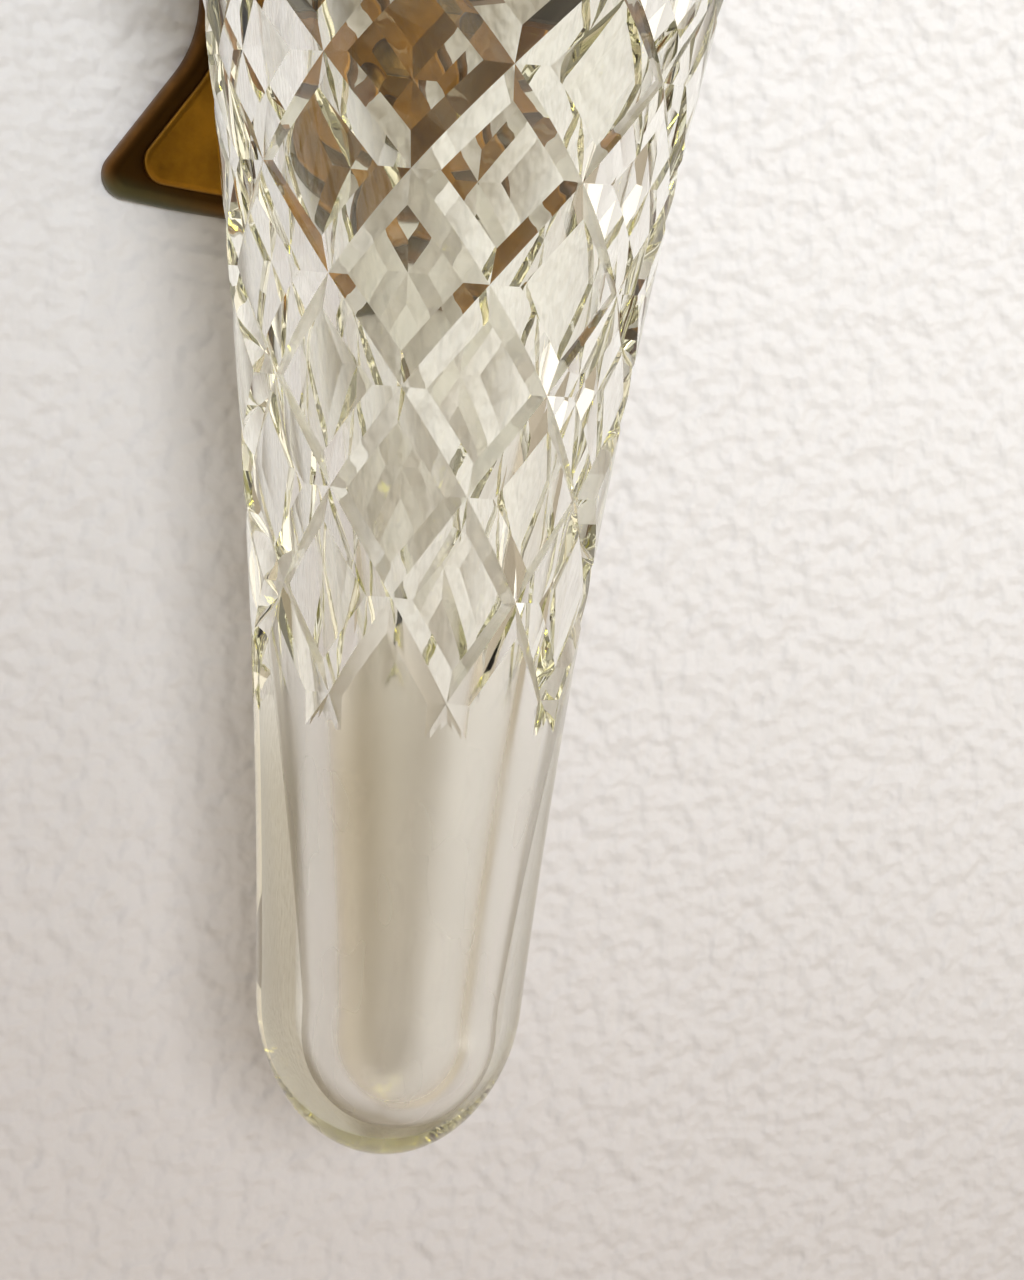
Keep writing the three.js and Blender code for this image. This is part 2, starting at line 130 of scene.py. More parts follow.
class WALLVASE_PG_glass(PropertyGroup):
    """Sizes and tint of the crystal vase. Heights are measured up from its tip."""

    length: length("Length", "From tip to rim", 192.0)
    tip_to_ring: length("Tip to ring", "From the tip to the middle of the ring", 156.0)
    axis_reach: length("Axis reach", "From the wall to the vase's axis", 56.0)
    narrow_radius: length("Narrow radius", "At the narrowest point of the body's curve, below the tip", 14.75)
    narrow_drop: length("Narrow drop", "How far below the tip that point is", 32.15)
    bend: length("Bend", "Radius to which the body's outline bends there", 934.6)
    dome: length("Dome", "Height of the rounded lower end", 18.7)
    rim_round: length("Rim rounding", "Radius of the rim's rounding", 2.0)
    wall_base: length("Wall at base", "Thickness of glass at the base", 8.7)
    wall_rim: length("Wall at rim", "Thickness of glass at the rim", 4.4)
    floor: length("Floor", "Glass under the bore", 7.5)
    bore_dome: length("Bore dome", "Height of the bore's rounded end", 9.0)
    bore_lean: length("Bore lean", "How far off the axis the bore starts, leaning back to it at the rim", 1.1)
    cut_start: length("Cut start", "Height of the lowest crossings", 58.3)
    cut_pitch: length("Cut pitch", "Between rows of crossings", 11.95)
    cut_depth: length("Cut depth", "Depth of the mitre grooves", 1.2)
    cut_turn: angle("Cut turn", "Direction of a lowest crossing from straight ahead", -4.6)
    tint: colour("Tint", "Colour that a long way through the glass takes on", "#F4F3CF")
    # The slant tint is painted shade: it darkens the plain base's slanted edges in place of the shadowed wall
    # seen through them.
    painted_slant_shade: colour("Slant tint", "Colour of the plain base where it is crossed at a slant", "#AAA28E")
    # The film stain is partly water stain and partly painted shade, laid on the bore's left side for the
    # shadow seen through it.
    film_stain_and_shade: colour("Film stain", "Colour of the water film where it is thickest", "#EFE5D0")
    tint_density: FloatProperty(name="Tint density", description="Absorption for each metre", default=8.0)


class WALLVASE_PG_bracket(PropertyGroup):
    """Sizes and colours of the brass bracket and the sleeve."""

    plate_height: length("Plate height", "Height of the wall plate over its bowed ends", 88.8)
    plate_width: length("Plate width", "Width across the flared ends", 59.6)
    waist: length("Waist", "Width at the waist", 36.0)
    flare_angle: angle("Flare angle", "Of the flared sides from the vertical", 35.0)
    flare_radius: length("Flare radius", "Radius where a flared side meets the waist", 16.0)
    corner: length("Corner radius", "Radius of the plate's corners", 3.3)
    end_radius: length("End radius", "Radius of the plate's bowed ends", 188.0)
    plate_thick: length("Plate thickness", "Thickness of the wall plate", 3.4)
    plate_edge: length("Plate edge", "Upright edge below the bevel", 0.8)
    bevel: length("Bevel", "Width of the plate's bevel", 2.0)
    panel_inset: length("Panel inset", "From the plate's outline to the panel's", 2.8)
    panel_corner: length("Panel corner radius", "Radius of the panel's corners", 3.0)
    panel_thick: length("Panel thickness", "Thickness of the raised panel", 2.0)
    panel_round: length("Panel rounding", "Rounding of the panel's edge", 0.9)
    foot_radius: length("Foot radius", "Radius of the arm's foot", 10.0)
    foot_edge: length("Foot edge", "Straight edge of the foot", 2.2)
    foot_sweep: length("Foot sweep", "Over which the foot narrows to the neck", 3.0)
    neck_radius: length("Neck radius", "Radius of the arm's neck", 4.4)
    head_width: length("Head width", "Width of the arm's head", 19.0)
    head_length: length("Head length", "Of the arm's head, behind the ring", 5.0)
    head_round: length("Head rounding", "Rounding of the head's edges", 1.6)
    ring_height: length("Ring height", "Height of the ring", 14.0)
    ring_wall: length("Ring wall", "Thickness of the ring's band", 2.6)
    bead: length("Bead", "Radius of the ring's beads", 1.2)
    sleeve_wall: length("Sleeve wall", "Thickness of the sleeve", 1.6)
    sleeve_lip: length("Sleeve lip", "Thickness of the sleeve's lip", 1.2)
    gap: length("Gap", "Clearance between pieces that fit together", 0.3)
    plate_brass: colour("Plate brass", "Rubbed face of the plate's brass", "#80582A")
    panel_brass: colour("Panel brass", "Rubbed face of the panel's brass", "#AE7C26")
    screw_brass: colour("Screw brass", "Rubbed face of the screws' brass", "#A88444")
    # The patina colour is also laid on the wall plate next to the raised panel as painted shade.
    patina_and_shade: colour("Patina", "Aged film in hollows and over the faces", "#3E2A12")
    # This grey is a painted reflection of the pale wall in the plate's edges and corners.
    painted_reflection: colour("Tarnish", "Grey film on the wall plate's corners", "#565A42")
    sleeve_rubber: colour("Sleeve rubber", "Rubber of the sleeve", "#2A211A")


class WALLVASE_PG_screws(PropertyGroup):
    """Sizes of the three pairs of screws."""

    wall_offset: length("Wall screw offset", "Above and below the plate's centre", 28.0)
    wall_radius: length("Wall screw radius", "Over the thread", 2.1)
    wall_reach: length("Wall screw reach", "Length of shank behind the plate", 24.0)
    wall_head: length("Wall screw head", "Radius of the domed head", 4.0)
    wall_dome: length("Wall screw dome", "Height of the domed head", 2.6)
    arm_offset: length("Arm screw offset", "Above and below the arm's middle", 6.0)
    arm_radius: length("Arm screw radius", "Over the thread", 1.6)
    arm_head: length("Arm screw head", "Radius of the countersunk head", 3.2)
    arm_thread: length("Arm screw thread", "Length in the arm's foot", 3.0)
    ring_offset: length("Ring screw offset", "Left and right of the arm's middle", 5.5)
    ring_radius: length("Ring screw radius", "Over the thread", 1.4)
    ring_head: length("Ring screw head", "Radius of the countersunk head", 2.6)
    ring_thread: length("Ring screw thread", "Length in the arm's head", 3.2)
    sink: length("Sink", "How far a countersunk head lies below its face", 0.2)
    clearance: length("Clearance", "Radial, between a shank and its hole", 0.3)
    slot_width: length("Slot width", "Width of a screwdriver slot", 1.0)
    slot_depth: length("Slot depth", "Depth of a screwdriver slot", 1.1)


class WALLVASE_PG_stage(PropertyGroup):
    """The pale wall and floor round the vase, the light and the point of view."""

    # Painted light: the wall's paint is drawn lit at the upper right and shaded at the lower left.
    wall_lit_side: colour("Wall, light side", "Paint at the upper right", "#EAEBEF")
    wall_shaded_side: colour("Wall, dim side", "Paint at the lower left", "#C4C0C1")
    floor_paint: colour("Floor", "Floor below the vase", "#D4CABA")
    wall_gap: length("Wall gap", "From the plate's back to the wall", 0.3)
    floor_drop: length("Floor drop", "From the vase's tip to the floor", 240.0)
    azimuth: angle("Azimuth", "Of the camera, from straight ahead", -20.0)
    elevation: angle("Elevation", "Of the camera, above level", 7.0)
    roll: angle("Roll", "Turn of the picture about its middle", 4.3)
    distance: length("Distance", "From the camera to the vase's axis", 350.0)
    aim_right: length("Aim right", "From the vase's axis to the picture's middle", 11.7)
    aim_height: length("Aim height", "From the vase's tip to the picture's middle", 64.05)
    view_height: length("View height", "Height of the picture at the vase's axis", 153.6)


def sizes(context):
    """The vase's, the bracket's and the screws' sizes."""
    scene = context.scene
    return scene.wallvase_glass, scene.wallvase_bracket, scene.wallvase_screws


# Mesh helpers


WELD = 1e-7  # metres within which points become one


def placed(name, data):
    """A new object in the scene."""
    made = bpy.data.objects.new(name, data)
    bpy.context.scene.collection.objects.link(made)
    return made


def new_piece(name, vertices, faces, material_index=None):
    """A closed mesh object at the origin from whole arrays, with poles welded and faces turned outwards."""
    mesh = bpy.data.meshes.new(name)
    mesh.from_pydata(np.asarray(vertices).tolist(), [], faces if isinstance(faces, list) else faces.tolist())
    if material_index is not None:
        mesh.polygons.foreach_set("material_index", material_index)
    work = bmesh.new()
    work.from_mesh(mesh)
    bmesh.ops.remove_doubles(work, verts=work.verts, dist=WELD)
    bmesh.ops.recalc_face_normals(work, faces=work.faces)
    work.to_mesh(mesh)
    work.free()
    return placed(name, mesh)


def carve(piece, tools, operation="DIFFERENCE"):
    """Cuts tools out of a piece, or joins them to it, and removes the tools."""
    for tool in tools:
        step = piece.modifiers.new("carve", "BOOLEAN")
        step.operation = operation
        step.solver = "EXACT"
        step.object = tool
        graph = bpy.context.evaluated_depsgraph_get()
        mesh = bpy.data.meshes.new_from_object(piece.evaluated_get(graph))
        old = piece.data
        piece.modifiers.clear()
        piece.data = mesh
        bpy.data.meshes.remove(old)
        mesh.name = piece.name
        spare = tool.data
        bpy.data.objects.remove(tool)
        bpy.data.meshes.remove(spare)


def dress(piece, materials, crease, body, slot, *nodes):
    """Gives a piece its body, materials and smooth shading that breaks at edges sharper than the crease."""
    for material in materials:
        piece.data.materials.append(material)
    piece.data.shade_smooth()
    piece.data.set_sharp_from_angle(angle=math.radians(crease))
    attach(piece, body)
    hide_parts(*nodes)


def grid_faces(rows, columns, looped=False):
    """Quads of a grid of points listed row by row, its columns closed and, where looped, its rows too."""
    row, column = np.meshgrid(np.arange(rows if looped else rows - 1), np.arange(columns), indexing="ij")
    above, beside = (row + 1) % rows, (column + 1) % columns
    low, high = row * columns, above * columns
    return np.stack([low + column, low + beside, high + beside, high + column], -1).reshape(-1, 4)


def arc(centre, radius, start, end, count):
    """Points on a circle between two angles in radians."""
    turn = np.linspace(start, end, count)
    return np.stack([centre[0] + radius * np.cos(turn), centre[1] + radius * np.sin(turn)], -1)


def turned(name, profile, segments, place, along=0.0):
    """A closed profile of (r, d) turned about a line through a place: upright, or along Y with a sign.

    Upright it is x = r sin t, y = -r cos t, z = d. Along Y it is x = r sin t, y = sign d, z = r cos t.
    """
    r, d = np.asarray(profile, float).T[:, :, None]
    turn = np.linspace(0.0, 2.0 * np.pi, segments, endpoint=False)
    side, front, d = r * np.sin(turn), r * np.cos(turn), d + 0.0 * turn
    rings = np.stack([side, along * d, front] if along else [side, -front, d], -1) + np.asarray(place)
    return new_piece(name, rings.reshape(-1, 3), grid_faces(len(r), segments, looped=True))


def lofted(name, rings):
    """A closed skin through outlines of equal count, with a flat face at each end."""
    rings = np.asarray(rings)
    rows, count = rings.shape[:2]
    faces = grid_faces(rows, count).tolist()
    faces.append(np.arange(count).tolist())
    faces.append(np.arange((rows - 1) * count, rows * count).tolist())
    return new_piece(name, rings.reshape(-1, 3), faces)


# Crystal vase

CUTS_AROUND = 8
CUT_ROWS = 7
GLASS_STEPS = 12  # grid steps between crossings, a multiple of 3
COLUMNS = 2 * CUTS_AROUND * GLASS_STEPS
DOME_RINGS = 26
BASE_RINGS = 14
LIP_RINGS = 16
RIM_RINGS = 9
BORE_RINGS = 60
GLASS_CREASE = 12.0  # degrees, above which an edge is sharp

LEAD_INDEX = 1.54  # refractive index of lead crystal
PLAIN_FADE = 15.0 * MM  # above and below the lowest crossings, over which the plain base's looks fade out
STRAIGHT_TO_SLANT = (0.1, 0.34)  # Facing values between which the glass's shadow darkens
BASE_SHADOW = 0.82  # share of light that the plain base lets through where it is crossed straight
EDGE_SHADE_SIDES = (-4.0 * MM, 14.0 * MM)  # from the left, where the painted slant shade is deepest, to the right
EDGE_SHADE_FROM = (0.25, 0.62)  # Facing at which the painted slant shade sets in, left and right
EDGE_SHADE_FULL = (0.33, 0.8)  # Facing at which it is full, left and right
FILM_SHADE_SIDES = (-8.0 * MM, 2.0 * MM)  # from the left, where the film's stain is partly painted shade, to the clean right
FILM_BLUR = (0.208, 0.312)  # roughness of the water film, between streaks and in them
STREAK_RANGE = (0.35, 0.65)  # noise values between which a streak sets in
STREAK_WIDTH = 5.0 * MM
STREAK_SQUASH = 0.33  # width of a streak over its length


def body_radius(g, h):
    """Radius of the uncut body, a parabola: narrow radius + (h + drop)^2 / (2 bend)."""
    return g.narrow_radius + (h + g.narrow_drop) ** 2 / (2.0 * g.bend)


def outer_radius(g, h):
    """The body's radius, drawn in over the dome by a quarter ellipse: sqrt(1 - (1 - h / dome)^2)."""
    down = np.clip(1.0 - h / g.dome, 0.0, 1.0)
    return body_radius(g, h) * np.sqrt(1.0 - down * down)


def bore_radius(g, h):
    """The body less a wall that thins evenly to the rim, drawn in over the bore's own round end."""
    share = np.clip((h - g.dome) / (g.length - g.dome), 0.0, 1.0)
    wall = g.wall_base + (g.wall_rim - g.wall_base) * share
    down = np.clip(1.0 - (h - g.floor) / g.bore_dome, 0.0, 1.0)
    return (body_radius(g, np.maximum(h, g.dome)) - wall) * np.sqrt(1.0 - down * down)


def cut_share(a, b):
    """Share of full groove depth at grid column a and row b from a crossing.

    Grooves lie where (a + b) / 2n or (a - b) / 2n is whole, n being the steps between crossings. A groove is
    a V that reaches a sixth of the way to the next one, and it runs out to nothing past the end rows.
    """
    n = GLASS_STEPS
    off = [np.abs(t - np.round(t)) for t in ((a + b) / (2 * n), (a - b) / (2 * n))]
    runout = np.minimum(b + n / 3, CUT_ROWS * n + n / 3 - b) / (n / 3)
    return np.clip(np.clip(runout, 0.0, 1.0) - 6.0 * np.minimum(*off), 0.0, 1.0)


def vase_rings(g, h, r):
    """Rings of points about the vase's axis at heights h above the tip, with radii r for each column."""
    turn = g.cut_turn + 2.0 * np.pi * np.arange(COLUMNS) / COLUMNS
    rings = np.stack([r * np.sin(turn), -r * np.cos(turn) - g.axis_reach, h + 0.0 * turn - g.tip_to_ring], -1)
    return rings.reshape(-1, 3)


def vase_outside(g):
    """Points and triangles from the tip to the rim, each ring drawn in where a groove crosses it.

    Each quad is split along the diagonal that follows the groove through it.
    """
    n = GLASS_STEPS
    step = g.cut_pitch / n
    first, last = -n // 3, CUT_ROWS * n + n // 3
    dome = g.dome * (1.0 - np.cos(np.linspace(0.0, np.pi / 2, DOME_RINGS)))
    base = np.linspace(g.dome, g.cut_start + first * step, BASE_RINGS)[1:-1]
    cut = g.cut_start + np.arange(first, last + 1) * step
    lip = np.linspace(cut[-1], g.length - g.rim_round, LIP_RINGS)[1:]
    roll = np.linspace(0.0, np.pi / 2, RIM_RINGS)[1:]
    rim = g.length - g.rim_round * (1.0 - np.sin(roll))
    h = np.concatenate([dome, base, cut, lip, rim])
    less = np.concatenate([np.zeros(len(h) - len(rim)), g.rim_round * (1.0 - np.cos(roll))])
    a = np.arange(COLUMNS)
    b = ((h - g.cut_start) / step)[:, None]
    share = cut_share(a, b)
    points = vase_rings(g, h[:, None], (outer_radius(g, h) - less)[:, None] - g.cut_depth * share)
    middle = cut_share(a + 0.5, (b[:-1] + b[1:]) / 2)
    beside = np.roll(share, -1, axis=1)
    rising = np.abs((share[:-1] + beside[1:]) / 2 - middle).reshape(-1, 1)
    falling = np.abs((beside[:-1] + share[1:]) / 2 - middle).reshape(-1, 1)
    p, q, s, t = grid_faces(len(h), COLUMNS).T
    one = np.where(rising <= falling, np.stack([p, q, s], -1), np.stack([p, q, t], -1))
    two = np.where(rising <= falling, np.stack([p, s, t], -1), np.stack([q, s, t], -1))
    return points, np.concatenate([one, two])


def vase_inside(g):
    """Points and quads of the bore from the rim down to its floor.

    It leans off the axis by lean (1 - h / length).
    """
    shoulder = g.length - g.rim_round
    roll = np.linspace(np.pi / 2, 0.0, RIM_RINGS)
    side = np.linspace(shoulder, g.floor + g.bore_dome, BORE_RINGS)[1:]
    dome = g.floor + g.bore_dome * (1.0 - np.cos(np.linspace(np.pi / 2, 0.0, DOME_RINGS)[1:]))
    h = np.concatenate([shoulder + g.rim_round * np.sin(roll), side, dome])
    rim = bore_radius(g, shoulder) + g.rim_round * (1.0 - np.cos(roll))
    r = np.concatenate([rim, bore_radius(g, side), bore_radius(g, dome)])
    points = vase_rings(g, h[:, None], r[:, None])
    points[:, 0] += np.repeat(g.bore_lean * (1.0 - h / g.length), COLUMNS)
    return points, grid_faces(len(h), COLUMNS)


def crystal(g, name, filmed=False):
    """Lead crystal: clear, with bright edges and a straw tint that builds up over a long way through it.

    Below the cuts a slant tint is painted shade: the plain base darkens where it is crossed at a slant, most
    of all on its thicker left side, standing in for the shadowed wall that the glass bends into view. A
    filmed face holds what water left below the cuts, in streaks that blur what is seen through them, and a
    stain on its left side that is partly water stain and partly painted shade for the shadow seen through
    the bore. The shadow is light where the glass is crossed straight, most of all behind the cuts, and dark
    at a slant. The tint runs from one outer face to the other, so a filmed face adds none.
    """
    material, tree = blank_material(name)
    place = node(tree, "TexCoord").outputs["Object"]
    apart = node(tree, "SeparateXYZ", {"Vector": place}).outputs
    start = g.cut_start - g.tip_to_ring
    plain = ramp(tree, apart["Z"], start - PLAIN_FADE, start + PLAIN_FADE, 1.0, 0.0, "SMOOTHSTEP")
    slant = node(tree, "LayerWeight", {"Blend": 0.5}).outputs["Facing"]
    dim = ramp(tree, slant, *STRAIGHT_TO_SLANT, ramp(tree, plain, 0.0, 1.0, 1.0, BASE_SHADOW), 0.0)
    through = node(tree, "BsdfTransparent", {"Color": dim})
    ends = {}
    if filmed:
        along = node(tree, "Mapping", {"Vector": place, "Scale": (1.0, 1.0, STREAK_SQUASH)})
        streaks = noise(tree, along.outputs["Vector"], STREAK_WIDTH, 1.0)
        blur = ramp(tree, streaks, *STREAK_RANGE, *FILM_BLUR)
        rough = node(tree, "Math", {0: blur, 1: plain}, operation="MULTIPLY").outputs["Value"]
        # The stain, on the left side only, is partly water stain and partly painted shade for the shadow seen
        # through the bore.
        deep = g.film_stain_and_shade
        painted_dark_share = ramp(tree, apart["X"], *FILM_SHADE_SIDES, plain, 0.0, "SMOOTHSTEP")
    else:
        rough = 0.0
        # The slant tint is painted shade on the plain base's slanted edges, deepest on the left.
        deep = g.painted_slant_shade
        first, full = (ramp(tree, apart["X"], *EDGE_SHADE_SIDES, *sides) for sides in (EDGE_SHADE_FROM, EDGE_SHADE_FULL))
        painted_dark_share = ramp(tree, slant, first, full, 0.0, plain)
        body = node(tree, "VolumeAbsorption", {"Color": (*g.tint, 1.0), "Density": g.tint_density})
        ends["Volume"] = body.outputs["Volume"]
    tint = blend(tree, painted_dark_share, (1.0, 1.0, 1.0), deep)
    surface = node(tree, "BsdfPrincipled", {
        "Base Color": tint, "Roughness": rough, "IOR": LEAD_INDEX, "Transmission Weight": 1.0})
    ray = node(tree, "LightPath").outputs["Is Shadow Ray"]
    shown = node(tree, "MixShader", {0: ray, 1: surface.outputs["BSDF"], 2: through.outputs["BSDF"]})
    node(tree, "OutputMaterial", {"Surface": shown.outputs["Shader"], **ends})
    return material


class WALLVASE_OT_glass(Operator):
    """Makes the crystal vase: cut outside, smooth bore, rounded rim."""

    bl_idname = "wallvase.glass"
    bl_label = "Crystal vase"

    def execute(self, context):
        g, _, _ = sizes(context)
        outside, triangles = vase_outside(g)
        inside, quads = vase_inside(g)
        start = len(outside)
        around = np.arange(COLUMNS)
        beside = (around + 1) % COLUMNS
        rim = np.stack([around - COLUMNS, beside - COLUMNS, beside, around], -1) + start
        faces = [*triangles.tolist(), *rim.tolist(), *(quads + start).tolist()]
        in_bore = np.arange(len(faces)) >= len(faces) - len(quads)
        vase = new_piece("crystal_vase", np.concatenate([outside, inside]), faces, in_bore.astype(np.int32))
        clear = crystal(g, "lead_crystal_polished")
        used = crystal(g, "lead_crystal_bore", filmed=True)
        dress(vase, [clear, used], GLASS_CREASE, "vase", "crystal", "glass_vase")
        return {"FINISHED"}


# Brass bracket

CREASE = 30.0  # degrees, above which an edge is sharp
SATIN = 0.34  # roughness of brass that is seldom touched
POLISHED = 0.3
HANDLED = 0.28
PATCH_RANGE = (0.36, 0.7)  # noise values between which the film thickens
PATCH_COVER = (0.05, 0.6)  # share of the metal that it covers there
PLATE_SHADE_DEPTHS = (-2.6 * MM, -3.4 * MM)  # depths on the plate between which its film colour is painted shade, under the raised panel's lip
# share of the plate that the painted shade covers there
SHADE_COVER = 0.9
DULL_RANGE = (0.3, 0.75)  # noise values between which the metal gets rougher
DULLER = 0.18  # by this much
REFLECTION_WAY = (0.25, 0.0, 1.0)  # shares of the distance across and up, so that the corners are farthest
REFLECTION_REACH = (45.6 * MM, 48.6 * MM)  # that distance where the painted reflection starts and where it is full
REFLECTION_COVER = 0.85
MARK_WIDTH = 0.4 * MM
MARK_RELIEF = 0.02 * MM
GRAIN_WIDTH = 0.5 * MM
GRAIN_RELIEF = 0.05 * MM
RING_SEGMENTS = 160
ARM_SEGMENTS = 96
HOLE_SEGMENTS = 32
END_POINTS = 6  # along half of a bowed end
CORNER_POINTS = 25
WAIST_POINTS = 17
BEVEL_RINGS = 12
PANEL_RINGS = 9
HEAD_RINGS = 7
SWEEP_POINTS = 17
BEAD_POINTS = 13
EDGE_BREAK = 0.2 * MM  # where the plate's back meets its upright edge


def brass(name, rubbed, film, mottle_mm, roughness, shade_depths=None, painted_reflection=None):
    """Cast and polished brass that has aged: a warm metal under a brown film, patchy, with fine wiping marks.

    The film is thicker in patches of the mottle's size. Where two depths are given, the film colour is laid
    on from one to the other as painted shade, under the raised panel's lip. A painted reflection colour,
    where one is given, greys the edges and corners of the wall plate as the pale wall mirrored in them.
    """
    material, tree = blank_material(name)
    place = node(tree, "TexCoord").outputs["Object"]
    mottle = noise(tree, place, mottle_mm * MM, 5.0, 0.62)
    film_and_shade_cover = ramp(tree, mottle, *PATCH_RANGE, *PATCH_COVER)
    # Painted shade: between the two depths the film colour darkens the plate under the panel's lip.
    if shade_depths:
        depth = node(tree, "SeparateXYZ", {"Vector": place}).outputs["Y"]
        deep = ramp(tree, depth, *shade_depths, 0.0, SHADE_COVER)
        film_and_shade_cover = node(tree, "Math", {0: film_and_shade_cover, 1: deep}, operation="MAXIMUM").outputs["Value"]
    tint = blend(tree, film_and_shade_cover, rubbed, film)
    # Painted reflection: the pale wall's grey laid on the plate's edges and corners.
    if painted_reflection:
        size = node(tree, "VectorMath", {0: place}, operation="ABSOLUTE").outputs["Vector"]
        reach = node(tree, "VectorMath", {0: size, 1: REFLECTION_WAY}, operation="DOT_PRODUCT").outputs["Value"]
        reflected_grey = ramp(tree, reach, *REFLECTION_REACH, 0.0, REFLECTION_COVER, "SMOOTHSTEP")
        tint = blend(tree, reflected_grey, tint, painted_reflection)
    gloss = ramp(tree, mottle, *DULL_RANGE, roughness, roughness + DULLER)
    # Wiping marks ten times as long as wide, drawn coarser than real ones so that they show.
    along = node(tree, "Mapping", {"Vector": place, "Scale": (1.0, 1.0, 0.1)})
    marks = noise(tree, along.outputs["Vector"], MARK_WIDTH, 3.0)
    relief = node(tree, "Bump", {"Height": marks, "Strength": 0.25, "Distance": MARK_RELIEF})
    surface = node(tree, "BsdfPrincipled", {
        "Base Color": tint, "Metallic": 1.0, "Roughness": gloss, "Normal": relief.outputs["Normal"]})
    node(tree, "OutputMaterial", {"Surface": surface.outputs["BSDF"]})
    return material


def rubber(name, shade):
    """Moulded soft rubber: dark, dull, with a fine powdery grain."""
    material, tree = blank_material(name)
    grain = noise(tree, node(tree, "TexCoord").outputs["Object"], GRAIN_WIDTH, 4.0)
    tone = blend(tree, grain, shade, [2.2 * part for part in shade])
    relief = node(tree, "Bump", {"Height": grain, "Strength": 0.3, "Distance": GRAIN_RELIEF})
    surface = node(tree, "BsdfPrincipled", {
        "Base Color": tone, "Roughness": 0.82, "Normal": relief.outputs["Normal"]})
    node(tree, "OutputMaterial", {"Surface": surface.outputs["BSDF"]})
    return material


def plate_outline(b, corner, inset, y):
    """The plate's outline moved inwards: bowed ends, corner arcs, flared sides and arcs into the waist.

    A corner's arc touches the bowed end and the flared side, with the given radius where nothing is moved.
    One quarter is worked out and mirrored up and across, counterclockwise as seen from the front.
    """
    along, across = math.sin(b.flare_angle), math.cos(b.flare_angle)
    end_z = b.end_radius - b.plate_height / 2
    tip_x = b.plate_width / 2 - b.corner
    side_x = tip_x + b.corner * across
    side_z = end_z - math.sqrt((b.end_radius - b.corner) ** 2 - tip_x ** 2) + b.corner * along
    beside_x, beside_z = side_x - corner * across, side_z - corner * along - end_z
    middle = beside_x * along - beside_z * across
    slide = middle - math.sqrt(middle ** 2 - beside_x ** 2 - beside_z ** 2 + (b.end_radius - corner) ** 2)
    centre = (beside_x - slide * along, beside_z + slide * across + end_z)
    bow = math.asin(centre[0] / (b.end_radius - corner))
    step, down = bow / END_POINTS, -np.pi / 2
    waist_x = b.waist / 2 + b.flare_radius
    run = side_x - waist_x + b.flare_radius * across
    waist_z = side_z + run / math.tan(b.flare_angle) + b.flare_radius * along
    quarter = np.concatenate([
        arc((0.0, end_z), b.end_radius - inset, step / 2 + down, bow - step / 2 + down, END_POINTS),
        arc(centre, corner - inset, bow + down, b.flare_angle, CORNER_POINTS),
        arc((waist_x, waist_z), b.flare_radius + inset, np.pi + b.flare_angle, np.pi, WAIST_POINTS)])
    half = np.concatenate([quarter, quarter[::-1] * [1.0, -1.0]])
    flat = np.concatenate([half, half[::-1] * [-1.0, 1.0]])
    return np.stack([flat[:, 0], np.full(len(flat), y), flat[:, 1]], -1)


def seat_radius(g, b, z, off):
    """Radius at height z above the ring's middle of a straight taper that lies off the glass."""
    low = outer_radius(g, g.tip_to_ring - b.ring_height / 2)
    high = outer_radius(g, g.tip_to_ring + b.ring_height / 2)
    return low + (high - low) * (z / b.ring_height + 0.5) + off


def panel_face(b):
    """Depth of the panel's face."""
    return -b.plate_thick - b.panel_thick


def ring_offsets(b):
    """How far the sleeve's and the ring's inner and outer faces lie off the glass."""
    return np.cumsum([b.gap, b.sleeve_wall, b.gap, b.ring_wall])


def ring_back(g, b):
    """Depth of the ring's rearmost point at its middle."""
    return -g.axis_reach + seat_radius(g, b, 0.0, ring_offsets(b)[3])


def two_holes(profile, place, offset, direction=1.0):
    """The solids of two holes, to either side of a place by an offset."""
    places = np.asarray(place) + np.outer((-1.0, 1.0), offset)
    return [turned("hole", profile, HOLE_SEGMENTS, at, direction) for at in places]


def wall_screw_holes(b, s):
    """Straight holes through plate and panel."""
    reach = b.gap - panel_face(b)
    wide = s.wall_radius + s.clearance
    profile = [(0.0, -reach), (wide, -reach), (wide, b.gap), (0.0, b.gap)]
    return two_holes(profile, (0.0, 0.0, 0.0), (0.0, 0.0, s.wall_offset))


def countersunk_hole(s, head, radius, depth, above):
    """Profile of a hole for a countersunk screw, open for a distance above its head."""
    wide, narrow = head + s.clearance, radius + s.clearance
    return [(0.0, -above), (wide, -above), (wide, 0.0),
            (narrow, head - radius), (narrow, depth), (0.0, depth)]


def arm_screw_length(b, s):
    """From the head, sunk in the plate's back, into the arm's foot."""
    return s.arm_thread - s.sink - panel_face(b)


def arm_screw_holes(b, s):
    """Countersunk holes from the plate's back, through the panel, into the arm's foot."""
    profile = countersunk_hole(s, s.arm_head, s.arm_radius, arm_screw_length(b, s) + b.gap, b.plate_thick)
    return two_holes(profile, (0.0, -s.sink, 0.0), (0.0, 0.0, s.arm_offset), -1.0)


def ring_screw_place(g, b, s):
    """Depth of the ring screws' heads, below the ring's inner face all round, and the screws' length."""
    near = s.ring_offset - s.ring_head
    face = math.sqrt(seat_radius(g, b, s.ring_head, ring_offsets(b)[2]) ** 2 - near**2)
    head = face + s.sink - g.axis_reach
    return head, ring_back(g, b) + s.ring_thread - head


def ring_screw_holes(g, b, s):
    """Countersunk holes from inside the ring into the arm's head."""
    head, reach = ring_screw_place(g, b, s)
    profile = countersunk_hole(s, s.ring_head, s.ring_radius, reach + b.gap, b.ring_wall)
    return two_holes(profile, (0.0, head, 0.0), (s.ring_offset, 0.0, 0.0))


